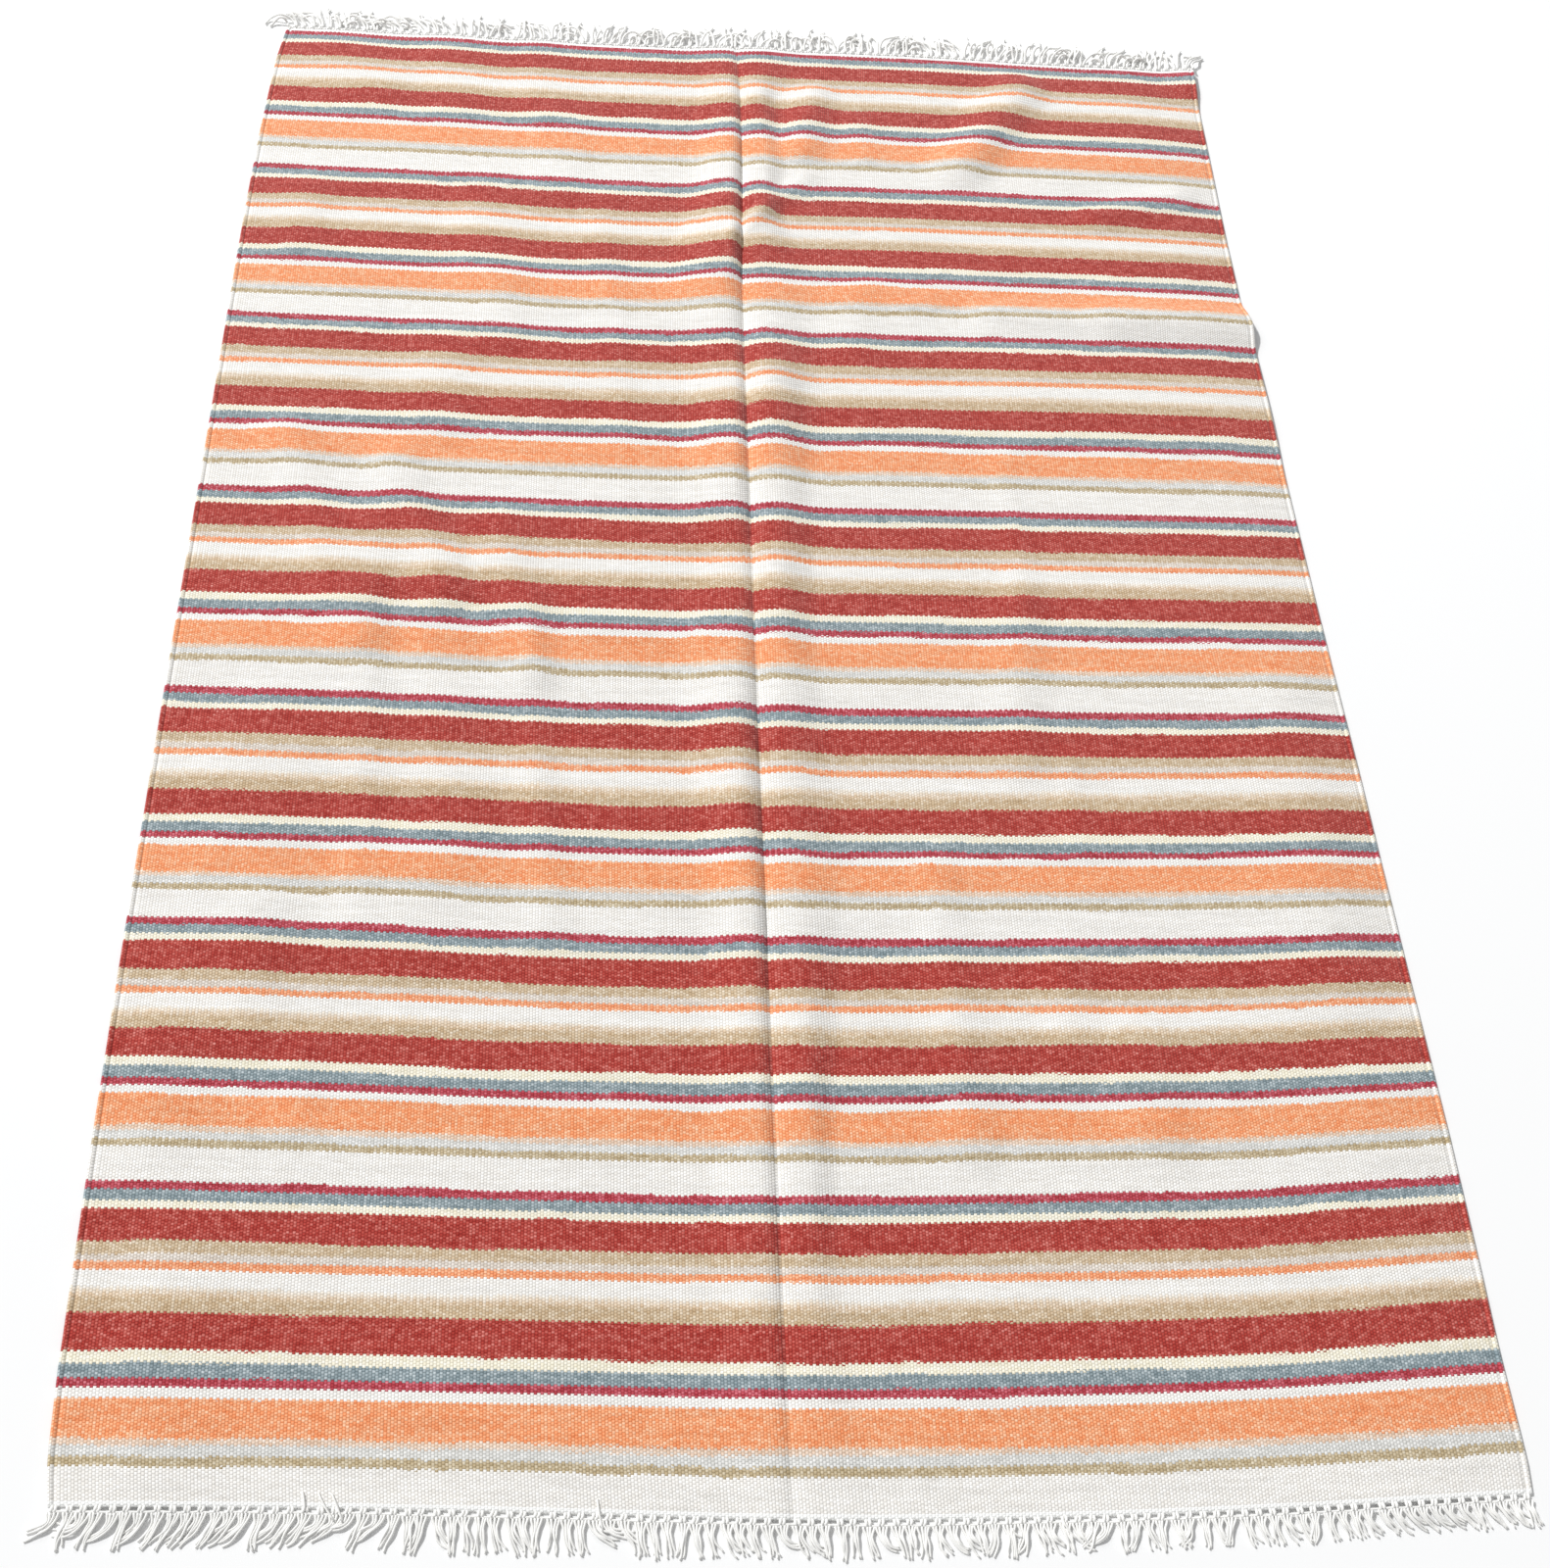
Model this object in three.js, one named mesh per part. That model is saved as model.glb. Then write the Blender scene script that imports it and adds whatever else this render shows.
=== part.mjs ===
// A flat woven striped rug with a knotted fringe at each end, lying flat with its old fold and ripples.
// Millimetres, +Z up. X runs across the rug and Y along it, from the near end to the far end.
import * as THREE from "three";

// Driving sizes of the cloth, between the corners.
const RUG_WIDTH = 1200;
const RUG_LENGTH = 1800;
const CLOTH_THICK = 3;
const SELVEDGE_WIDTH = 9; // the outermost strip of the sheet, a little thicker than the rest
const SELVEDGE_EXTRA = 0.8;

// Driving sizes of the fringe.
const LOCKS_PER_END = 104;
const EDGE_GAP = 0.3; // between the cloth and each fringe
const KNOT_ROW_DEPTH = 5;
const KNOT_ROW_THICK = 3;
const LOCK_ROOT_WIDTH = 5;
const LOCK_TIP_WIDTH = 2.6;
const LOCK_TIP_THICK = 1.6;
const NEAR_LOCK_LENGTH = 33;
const FAR_LOCK_LENGTH = 42;
const LOCK_UNEVEN = 3; // how much longer or shorter a lock is than the middle length
const LIFT_FADE = 20; // how far out of the cloth's edge the fringe is off the floor with it

// How far the two long edges stand outside the straight line between their corners.
const LONG_EDGES = [
  { along: -900, left: 0, right: 2 },
  { along: -877, left: 4, right: 4 },
  { along: -860, left: 6, right: 4 },
  { along: -800, left: 9, right: 3 },
  { along: -600, left: 12.5, right: 4 },
  { along: -435, left: 14, right: 2 },
  { along: -200, left: 15, right: 0 },
  { along: 0, left: 15, right: -3 },
  { along: 200, left: 15, right: -4.5 },
  { along: 425, left: 15, right: -4.5 },
  { along: 480, left: 15, right: -8.5 },
  { along: 580, left: 14.5, right: -8.5 },
  { along: 700, left: 12.5, right: -6 },
  { along: 840, left: 7, right: -3.5 },
  { along: 900, left: 0, right: -1 },
];

// How far the weft lines sag towards the near end, at seven even places from the left edge to the right.
const WEFT_BOW = [
  { along: -900, sag: [4, 6, 11, 17, 16, 10, 0] },
  { along: -840, sag: [2, 4, 8, 12, 10, 4, -8] },
  { along: -760, sag: [0, 3, 7, 11, 8, 2, -14] },
  { along: -600, sag: [-2, 2, 8, 10, 6, 2, -13] },
  { along: -430, sag: [-6, -1, 6, 8, 5, 2, -8] },
  { along: -270, sag: [-2, 0, 6, 7, 4, 1, -4] },
  { along: -170, sag: [-6, 0, 3, 5, 3, 2, -2] },
  { along: 50, sag: [-6, -1, 2, 4, 2, 2, 0] },
  { along: 250, sag: [-2, 0, 3, 3, 0, 0, 2] },
  { along: 360, sag: [0, 3, 7, 4, 0, 1, 2] },
  { along: 550, sag: [1, 2, 8, 5, 0, 2, 6] },
  { along: 780, sag: [-1, 0, 3, 2, -2, 2, 8] },
  { along: 900, sag: [-3, 0, 2, 0, -3, 1, 5] },
];

// The old fold down the middle: a sharp valley with a shoulder on either side of it. A shoulder climbs from
// the valley to its top and sinks again to its foot, both as distances from the valley.
const FOLD = [
  { along: -900, valley: -14, left: [3.5, 12, 55], right: [2.5, 28, 50] },
  { along: -700, valley: -16, left: [5, 14, 65], right: [4, 26, 54] },
  { along: -540, valley: -17, left: [6, 14, 65], right: [7, 30, 62] },
  { along: -340, valley: -17, left: [9, 16, 70], right: [6, 30, 85] },
  { along: -160, valley: -18, left: [11, 24, 85], right: [6.5, 28, 80] },
  { along: -50, valley: -18, left: [8, 22, 90], right: [7, 28, 70] },
  { along: 60, valley: -18, left: [4.5, 14, 62], right: [9.5, 27, 74] },
  { along: 110, valley: -18, left: [9, 20, 85], right: [8, 29, 80] },
  { along: 250, valley: -18, left: [9.5, 16, 80], right: [11, 29, 84] },
  { along: 320, valley: -18, left: [7.5, 14, 79], right: [12.5, 29, 88] },
  { along: 380, valley: -18, left: [6, 17, 80], right: [8, 29, 90] },
  { along: 460, valley: -18, left: [10.5, 26, 110], right: [4, 28, 90] },
  { along: 500, valley: -18, left: [13, 17, 98], right: [3.5, 28, 86] },
  { along: 590, valley: -15, left: [13, 16, 80], right: [11, 22, 54] },
  { along: 700, valley: -12, left: [8.5, 14, 68], right: [5.5, 28, 58] },
  { along: 800, valley: -11, left: [7, 14, 65], right: [7, 22, 48] },
  { along: 900, valley: -14, left: [3, 16, 70], right: [3.5, 30, 100] },
];
const FOLD_SHARPNESS = { left: 0.6, right: 0.65 };

// The other soft ridges in the cloth. Each runs from one point to another, rises over its left reach and
// falls over its right one.
const RIDGES = [
  { from: [-530, 850], to: [-480, 800], left: 80, right: 80, height: 4 },
  { from: [-390, 880], to: [-380, 770], left: 60, right: 70, height: 2.5 },
  { from: [-275, 880], to: [-270, 770], left: 40, right: 70, height: 2.5 },
  { from: [-235, 740], to: [-235, 630], left: 70, right: 50, height: 3 },
  { from: [84, 815], to: [64, 705], left: 38, right: 38, height: 6.5 },
  { from: [356, 838], to: [268, 690], left: 46, right: 46, height: 12 },
  { from: [500, 880], to: [500, 760], left: 70, right: 100, height: 1.5 },
  { from: [602, 905], to: [602, 870], left: 60, right: 60, height: 6 },
  { from: [430, 605], to: [540, 645], left: 38, right: 38, height: 5 },
  { from: [-545, 600], to: [-540, 510], left: 50, right: 45, height: 3 },
  { from: [-335, 600], to: [-335, 480], left: 50, right: 90, height: 3.5 },
  { from: [115, 450], to: [115, 370], left: 50, right: 45, height: 2.5 },
  { from: [280, 428], to: [375, 426], left: 40, right: 40, height: 6 },
  { from: [420, 426], to: [620, 425], left: 46, right: 46, height: 11 },
  { from: [-300, 450], to: [-300, 370], left: 50, right: 50, height: 3 },
  { from: [-365, 360], to: [-365, 240], left: 70, right: 60, height: 3.5 },
  { from: [330, 330], to: [560, 300], left: 130, right: 130, height: 3 },
  { from: [-530, 210], to: [-430, -60], left: 46, right: 46, height: 5 },
  { from: [-410, 170], to: [-340, 0], left: 42, right: 42, height: 6.5 },
  { from: [-425, 90], to: [-420, 10], left: 45, right: 50, height: 3.5 },
  { from: [-290, 87], to: [-250, -100], left: 42, right: 42, height: 4.5 },
  { from: [-470, -40], to: [-440, -160], left: 150, right: 150, height: 4 },
  { from: [-360, 0], to: [-320, -300], left: 45, right: 60, height: 3 },
  { from: [265, 0], to: [248, -200], left: 45, right: 40, height: 3.2 },
  { from: [-545, -200], to: [-545, -400], left: 50, right: 120, height: 3 },
  { from: [-365, -330], to: [-360, -400], left: 80, right: 80, height: 3 },
  { from: [-495, -380], to: [-495, -490], left: 50, right: 55, height: 3.5 },
  { from: [-570, -510], to: [-570, -620], left: 30, right: 80, height: 3 },
  { from: [325, -510], to: [330, -600], left: 60, right: 50, height: 3 },
  { from: [-540, -700], to: [-540, -880], left: 50, right: 100, height: 3 },
  { from: [520, -860], to: [520, 720], left: 300, right: 90, height: 2.5 },
  { from: [530, -130], to: [530, -420], left: 100, right: 70, height: 3.5 },
];

// How the locks of each fringe lean: the sideways run of a lock for each unit of its length.
const NEAR_LEAN = [
  { across: -600, lean: -0.95 },
  { across: -575, lean: -0.75 },
  { across: -450, lean: -0.6 },
  { across: -340, lean: -0.6 },
  { across: -290, lean: 0.1 },
  { across: -120, lean: 0.12 },
  { across: 60, lean: 0.2 },
  { across: 260, lean: 0.1 },
  { across: 400, lean: 0.3 },
  { across: 515, lean: 0.7 },
  { across: 566, lean: 0.7 },
  { across: 600, lean: 0.25 },
];
const FAR_LEAN = [
  { across: -600, lean: -0.8 },
  { across: -560, lean: -0.7 },
  { across: -400, lean: -0.6 },
  { across: -330, lean: -0.2 },
  { across: -225, lean: -0.3 },
  { across: -160, lean: 0.4 },
  { across: 0, lean: 0.2 },
  { across: 70, lean: -0.2 },
  { across: 210, lean: 0.1 },
  { across: 320, lean: 0.35 },
  { across: 560, lean: 0.5 },
  { across: 600, lean: 0.1 },
];

// Grid of the cloth's solid, as stretches of even steps: finer across the fold and across the right ripple.
const INNER_EDGE = RUG_WIDTH / 2 - SELVEDGE_WIDTH;
const COLUMN_STRETCHES = [
  { from: -RUG_WIDTH / 2, to: -INNER_EDGE, steps: 1 },
  { from: -INNER_EDGE, to: -120, steps: 14 },
  { from: -120, to: -42, steps: 5 },
  { from: -42, to: 6, steps: 4 },
  { from: 6, to: 30, steps: 2 },
  { from: 30, to: 110, steps: 5 },
  { from: 110, to: INNER_EDGE, steps: 15 },
  { from: INNER_EDGE, to: RUG_WIDTH / 2, steps: 1 },
];
const ROW_STRETCHES = [
  { from: -RUG_LENGTH / 2, to: 370, steps: 30 },
  { from: 370, to: 490, steps: 8 },
  { from: 490, to: RUG_LENGTH / 2, steps: 14 },
];

const cloth = { color: 0xd0a58c, roughness: 0.95, metalness: 0 };
const cotton = { color: 0xe9e3d8, roughness: 0.95, metalness: 0 };
const stripedWeave = () => new THREE.MeshStandardMaterial(cloth);
const fringeCotton = () => new THREE.MeshStandardMaterial(cotton);

// Straight interpolation in a table of rows, each with a place and something to read from it.
function lookUp(rows, place, at, read) {
  let low = rows[0];
  for (const high of rows) {
    if (high[place] >= at) {
      const span = high[place] - low[place];
      const share = span > 0 ? (at - low[place]) / span : 0;
      return THREE.MathUtils.lerp(read(low), read(high), share);
    }
    low = high;
  }
  return read(low);
}

// The sag of the weft at a share across, from -1 at the left edge to 1 at the right one.
function weftSag(shareAcross, along) {
  const knots = WEFT_BOW[0].sag.map((_, i) => lookUp(WEFT_BOW, "along", along, (row) => row.sag[i]));
  const first = 2 * knots[0] - knots[1];
  const last = 2 * knots[6] - knots[5];
  const all = [first, ...knots, last];
  const place = THREE.MathUtils.clamp((shareAcross + 1) * 3, 0, 6);
  const i = Math.min(5, Math.floor(place));
  const t = place - i;
  const [a, b, c, d] = all.slice(i, i + 4);
  const linear = c - a;
  const square = 2 * a - 5 * b + 4 * c - d;
  const cube = 3 * b - a - 3 * c + d;
  return 0.5 * (2 * b + linear * t + square * t * t + cube * t * t * t);
}

// Height of the shoulders of the fold down the middle.
function foldHeight(x, y) {
  const valley = lookUp(FOLD, "along", y, (row) => row.valley);
  const side = x < valley ? "left" : "right";
  const [height, top, foot] = [0, 1, 2].map((i) => lookUp(FOLD, "along", y, (row) => row[side][i]));
  const away = Math.abs(x - valley);
  if (away < top) return height * Math.sin((Math.PI / 2) * (away / top)) ** FOLD_SHARPNESS[side];
  if (away < foot) return height * 0.5 * (1 + Math.cos((Math.PI * (away - top)) / (foot - top)));
  return 0;
}

// Height of the cloth's underside over the floor.
function ridgeHeight(x, y) {
  let total = foldHeight(x, y);
  for (const { from, to, left, right, height } of RIDGES) {
    const runX = to[0] - from[0];
    const runY = to[1] - from[1];
    const along = ((x - from[0]) * runX + (y - from[1]) * runY) / (runX * runX + runY * runY);
    const t = THREE.MathUtils.clamp(along, 0, 1);
    const awayX = x - from[0] - t * runX;
    const away = Math.hypot(awayX, y - from[1] - t * runY);
    const side = 0.5 + (0.5 * awayX) / Math.max(away, 0.01);
    const reach = THREE.MathUtils.lerp(left, right, side);
    if (away < reach) total += height * 0.5 * (1 + Math.cos((Math.PI * away) / reach));
  }
  return total;
}

// Where a point of the flat cloth lies on the floor. Both arguments are sizes of the cloth itself.
function layDown(across, along) {
  const share = across / (RUG_WIDTH / 2);
  const left = lookUp(LONG_EDGES, "along", along, (row) => row.left);
  const right = lookUp(LONG_EDGES, "along", along, (row) => row.right);
  const outward = THREE.MathUtils.lerp(-left, right, (share + 1) / 2);
  return { x: across + outward, y: along - weftSag(share, along) };
}

// The places of a grid's lines, from its stretches.
function gridPlaces(stretches) {
  const places = [stretches[0].from];
  for (const { from, to, steps } of stretches) {
    for (let i = 1; i <= steps; i++) places.push(from + ((to - from) * i) / steps);
  }
  return places;
}

// The cloth: a closed sheet whose underside and top both follow the ridges.
function wovenField() {
  const columns = gridPlaces(COLUMN_STRETCHES);
  const rows = gridPlaces(ROW_STRETCHES);
  const last = columns.length - 1;
  const end = rows.length - 1;
  const points = [];
  for (const along of rows) {
    columns.forEach((across, c) => {
      const { x, y } = layDown(across, along);
      const under = ridgeHeight(x, y);
      const thick = CLOTH_THICK + (c === 0 || c === last ? SELVEDGE_EXTRA : 0);
      points.push(x, y, under, x, y, under + thick);
    });
  }
  const faces = [];
  const low = (r, c) => 2 * (r * columns.length + c);
  const high = (r, c) => low(r, c) + 1;
  const quad = (a, b, c, d) => faces.push(a, b, c, a, c, d);
  for (let r = 0; r < end; r++) {
    for (let c = 0; c < last; c++) {
      quad(high(r, c), high(r, c + 1), high(r + 1, c + 1), high(r + 1, c));
      quad(low(r, c), low(r + 1, c), low(r + 1, c + 1), low(r, c + 1));
    }
    quad(low(r, 0), high(r, 0), high(r + 1, 0), low(r + 1, 0));
    quad(low(r, last), low(r + 1, last), high(r + 1, last), high(r, last));
  }
  for (let c = 0; c < last; c++) {
    quad(low(0, c), low(0, c + 1), high(0, c + 1), high(0, c));
    quad(low(end, c), high(end, c), high(end, c + 1), low(end, c + 1));
  }
  const geometry = new THREE.BufferGeometry();
  geometry.setAttribute("position", new THREE.Float32BufferAttribute(points, 3));
  geometry.setIndex(faces);
  geometry.computeVertexNormals();
  const mesh = new THREE.Mesh(geometry, stripedWeave());
  mesh.name = "woven_field";
  return mesh;
}

// A fringe in plan is one comb outline: the knot row along the cloth's edge, then each lock out and back.
// outward is -1 for the near end and 1 for the far end.
function fringe(name, outward, lockLength, leanTable) {
  const half = RUG_WIDTH / 2;
  const edgeY = (across) => layDown(across, (outward * RUG_LENGTH) / 2).y;
  const offset = (across, distance) => edgeY(across) + outward * distance;
  const pitch = RUG_WIDTH / LOCKS_PER_END;
  const outline = new THREE.Shape();
  const corner = [-half, offset(-half, EDGE_GAP)];
  outline.moveTo(...corner);
  for (let i = 0; i < LOCKS_PER_END; i++) {
    const root = -half + pitch * (i + 0.5);
    const lean = lookUp(leanTable, "across", root, (row) => row.lean) + 0.05 * Math.sin(i * 2.1);
    const length = lockLength + LOCK_UNEVEN * Math.sin(i * 1.7 + outward) * Math.cos(i * 0.6);
    const reachOut = length / Math.hypot(1, lean);
    const sway = 1.2 * Math.sin(i * 1.3);
    const centre = (share) => root + lean * reachOut * share + sway * Math.sin(Math.PI * share);
    const side = (share, way) => {
      const width = THREE.MathUtils.lerp(LOCK_ROOT_WIDTH, LOCK_TIP_WIDTH, share);
      return [
        centre(share) + (way * width) / 2,
        offset(root, EDGE_GAP + KNOT_ROW_DEPTH + reachOut * share),
      ];
    };
    const valley = root - pitch / 2;
    outline.lineTo(valley, offset(valley, EDGE_GAP + KNOT_ROW_DEPTH * (i > 0 ? 0.75 : 1)));
    for (const share of [0, 0.5, 1]) outline.lineTo(...side(share, -1));
    for (const share of [1, 0.5, 0]) outline.lineTo(...side(share, 1));
  }
  outline.lineTo(half, offset(half, EDGE_GAP + KNOT_ROW_DEPTH));
  for (let i = 0; i < LOCKS_PER_END; i++) {
    const across = half - pitch * i;
    outline.lineTo(across, offset(across, EDGE_GAP));
  }
  outline.closePath();
  const geometry = new THREE.ExtrudeGeometry(outline, { depth: KNOT_ROW_THICK, bevelEnabled: false });
  settleFringe(geometry, outward, lockLength);
  const mesh = new THREE.Mesh(geometry, fringeCotton());
  mesh.name = name;
  return mesh;
}

// The top of each lock comes down to the tip's thickness. The knot row and the roots rise with the cloth
// where its edge is off the floor, and each lock is level on the floor from LIFT_FADE outwards.
function settleFringe(geometry, outward, lockLength) {
  const position = geometry.getAttribute("position");
  for (let i = 0; i < position.count; i++) {
    const across = THREE.MathUtils.clamp(position.getX(i), -RUG_WIDTH / 2, RUG_WIDTH / 2);
    const edge = layDown(across, (outward * RUG_LENGTH) / 2);
    const out = outward * (position.getY(i) - edge.y);
    const lift = ridgeHeight(edge.x, edge.y) * THREE.MathUtils.clamp(1 - out / LIFT_FADE, 0, 1);
    const share = THREE.MathUtils.clamp((out - EDGE_GAP - KNOT_ROW_DEPTH) / lockLength, 0, 1);
    const thick = THREE.MathUtils.lerp(KNOT_ROW_THICK, LOCK_TIP_THICK, share);
    position.setZ(i, lift + (position.getZ(i) > 0 ? thick : 0));
  }
  geometry.computeVertexNormals();
}

// The whole rug, moved so that the middle of its box's floor is the origin.
const rug = new THREE.Group();
rug.add(wovenField());
rug.add(fringe("near_fringe", -1, NEAR_LOCK_LENGTH, NEAR_LEAN));
rug.add(fringe("far_fringe", 1, FAR_LOCK_LENGTH, FAR_LEAN));
const box = new THREE.Box3().setFromObject(rug);
rug.position.set(-(box.min.x + box.max.x) / 2, -(box.min.y + box.max.y) / 2, -box.min.z);

export default rug;
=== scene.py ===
import math
import random

import bpy
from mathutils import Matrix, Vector, noise


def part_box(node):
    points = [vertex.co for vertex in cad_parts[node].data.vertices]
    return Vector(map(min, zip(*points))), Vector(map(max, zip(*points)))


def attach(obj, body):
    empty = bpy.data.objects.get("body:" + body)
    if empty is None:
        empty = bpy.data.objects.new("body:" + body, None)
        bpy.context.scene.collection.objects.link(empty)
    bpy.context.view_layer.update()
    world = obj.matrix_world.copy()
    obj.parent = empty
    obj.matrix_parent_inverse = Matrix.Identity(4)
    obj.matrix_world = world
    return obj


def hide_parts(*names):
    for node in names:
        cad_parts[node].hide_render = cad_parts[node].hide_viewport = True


# A kilim rug on a pale floor: a flat woven striped cloth with its old fold down the middle, and a knotted
# cotton fringe at each end. Metres throughout. X runs across the rug and Y along it, near end to far end.
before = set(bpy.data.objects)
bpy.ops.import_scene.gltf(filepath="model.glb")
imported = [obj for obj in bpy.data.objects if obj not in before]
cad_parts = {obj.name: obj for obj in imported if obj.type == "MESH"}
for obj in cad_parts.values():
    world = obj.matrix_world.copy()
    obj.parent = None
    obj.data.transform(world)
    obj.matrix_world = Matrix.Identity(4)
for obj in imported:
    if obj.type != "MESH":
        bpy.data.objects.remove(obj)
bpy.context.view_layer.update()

# Driving sizes of the cloth, between the corners. The photo alone doesn't fix the ratio of length to width,
# so 1.5 is assumed.
RUG_WIDTH = 1.2
RUG_LENGTH = 1.8
CLOTH_THICK = 0.003
WARP_COUNT = 440
WARP_PITCH = RUG_WIDTH / WARP_COUNT
PICK_PITCH = 0.0028

# The relief of the cloth itself: how uneven its thickness is, in broad and in fine waves, the bead of the
# selvedge and the groove beside it, and how far in from its edges it gets thinner, by which share.
BROAD_WAVE = 0.00035
FINE_WAVE = 0.00018
SELVEDGE_BEAD = (0.0007, 0.0026, 0.0016)  # height, distance from the edge, width
SELVEDGE_GROOVE = (0.0012, 0.0060, 0.0012)
SIDE_ROUND = 0.0018
SIDE_THINNER = 0.55
END_ROUND = 0.0020
END_THINNER = 0.45

# How far the two long edges stand outside the straight line between their corners.
LONG_EDGES = (  # along, left, right
    (-0.900, 0.000, 0.002),
    (-0.877, 0.004, 0.004),
    (-0.860, 0.006, 0.004),
    (-0.800, 0.009, 0.003),
    (-0.600, 0.0125, 0.004),
    (-0.435, 0.014, 0.002),
    (-0.200, 0.015, 0.000),
    (0.000, 0.015, -0.003),
    (0.200, 0.015, -0.0045),
    (0.425, 0.015, -0.0045),
    (0.480, 0.015, -0.0085),
    (0.580, 0.0145, -0.0085),
    (0.700, 0.0125, -0.006),
    (0.840, 0.007, -0.0035),
    (0.900, 0.000, -0.001),
)

# How far the weft lines sag towards the near end, at seven even places from the left edge to the right. It
# was fitted to the photo's stripes and rounded.
WEFT_BOW = (  # along, then the sag at the seven places
    (-0.90, 0.004, 0.006, 0.011, 0.017, 0.016, 0.010, 0.000),
    (-0.84, 0.002, 0.004, 0.008, 0.012, 0.010, 0.004, -0.008),
    (-0.76, 0.000, 0.003, 0.007, 0.011, 0.008, 0.002, -0.014),
    (-0.60, -0.002, 0.002, 0.008, 0.010, 0.006, 0.002, -0.013),
    (-0.43, -0.006, -0.001, 0.006, 0.008, 0.005, 0.002, -0.008),
    (-0.27, -0.002, 0.000, 0.006, 0.007, 0.004, 0.001, -0.004),
    (-0.17, -0.006, 0.000, 0.003, 0.005, 0.003, 0.002, -0.002),
    (0.05, -0.006, -0.001, 0.002, 0.004, 0.002, 0.002, 0.000),
    (0.25, -0.002, 0.000, 0.003, 0.003, 0.000, 0.000, 0.002),
    (0.36, 0.000, 0.003, 0.007, 0.004, 0.000, 0.001, 0.002),
    (0.55, 0.001, 0.002, 0.008, 0.005, 0.000, 0.002, 0.006),
    (0.78, -0.001, 0.000, 0.003, 0.002, -0.002, 0.002, 0.008),
    (0.90, -0.003, 0.000, 0.002, 0.000, -0.003, 0.001, 0.005),
)

# The old fold down the middle: a sharp valley with a shoulder on either side of it. A shoulder climbs from
# the valley to its top and sinks again to its foot, both as distances from the valley.
FOLD = (  # along, valley, left height, top, foot, right height, top, foot
    (-0.90, -0.014, 0.0018, 0.012, 0.055, 0.0012, 0.028, 0.070),
    (-0.70, -0.016, 0.0050, 0.014, 0.065, 0.0040, 0.026, 0.054),
    (-0.54, -0.017, 0.0060, 0.014, 0.065, 0.0070, 0.030, 0.062),
    (-0.34, -0.017, 0.0090, 0.016, 0.070, 0.0060, 0.030, 0.085),
    (-0.16, -0.018, 0.0110, 0.024, 0.085, 0.0065, 0.028, 0.080),
    (-0.05, -0.018, 0.0080, 0.022, 0.090, 0.0070, 0.028, 0.070),
    (0.06, -0.018, 0.0045, 0.014, 0.062, 0.0095, 0.027, 0.074),
    (0.11, -0.018, 0.0090, 0.020, 0.085, 0.0080, 0.029, 0.080),
    (0.25, -0.018, 0.0095, 0.016, 0.080, 0.0110, 0.029, 0.084),
    (0.32, -0.018, 0.0075, 0.014, 0.079, 0.0125, 0.029, 0.088),
    (0.38, -0.018, 0.0060, 0.017, 0.080, 0.0080, 0.029, 0.090),
    (0.46, -0.018, 0.0105, 0.026, 0.110, 0.0040, 0.028, 0.090),
    (0.50, -0.018, 0.0130, 0.017, 0.098, 0.0035, 0.028, 0.086),
    (0.59, -0.015, 0.0130, 0.016, 0.080, 0.0110, 0.022, 0.054),
    (0.70, -0.012, 0.0085, 0.014, 0.068, 0.0055, 0.028, 0.058),
    (0.80, -0.011, 0.0070, 0.014, 0.065, 0.0070, 0.022, 0.048),
    (0.90, -0.014, 0.0030, 0.016, 0.070, 0.0035, 0.030, 0.100),
)
FOLD_SHARPNESS = (0.6, 0.65)

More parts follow.
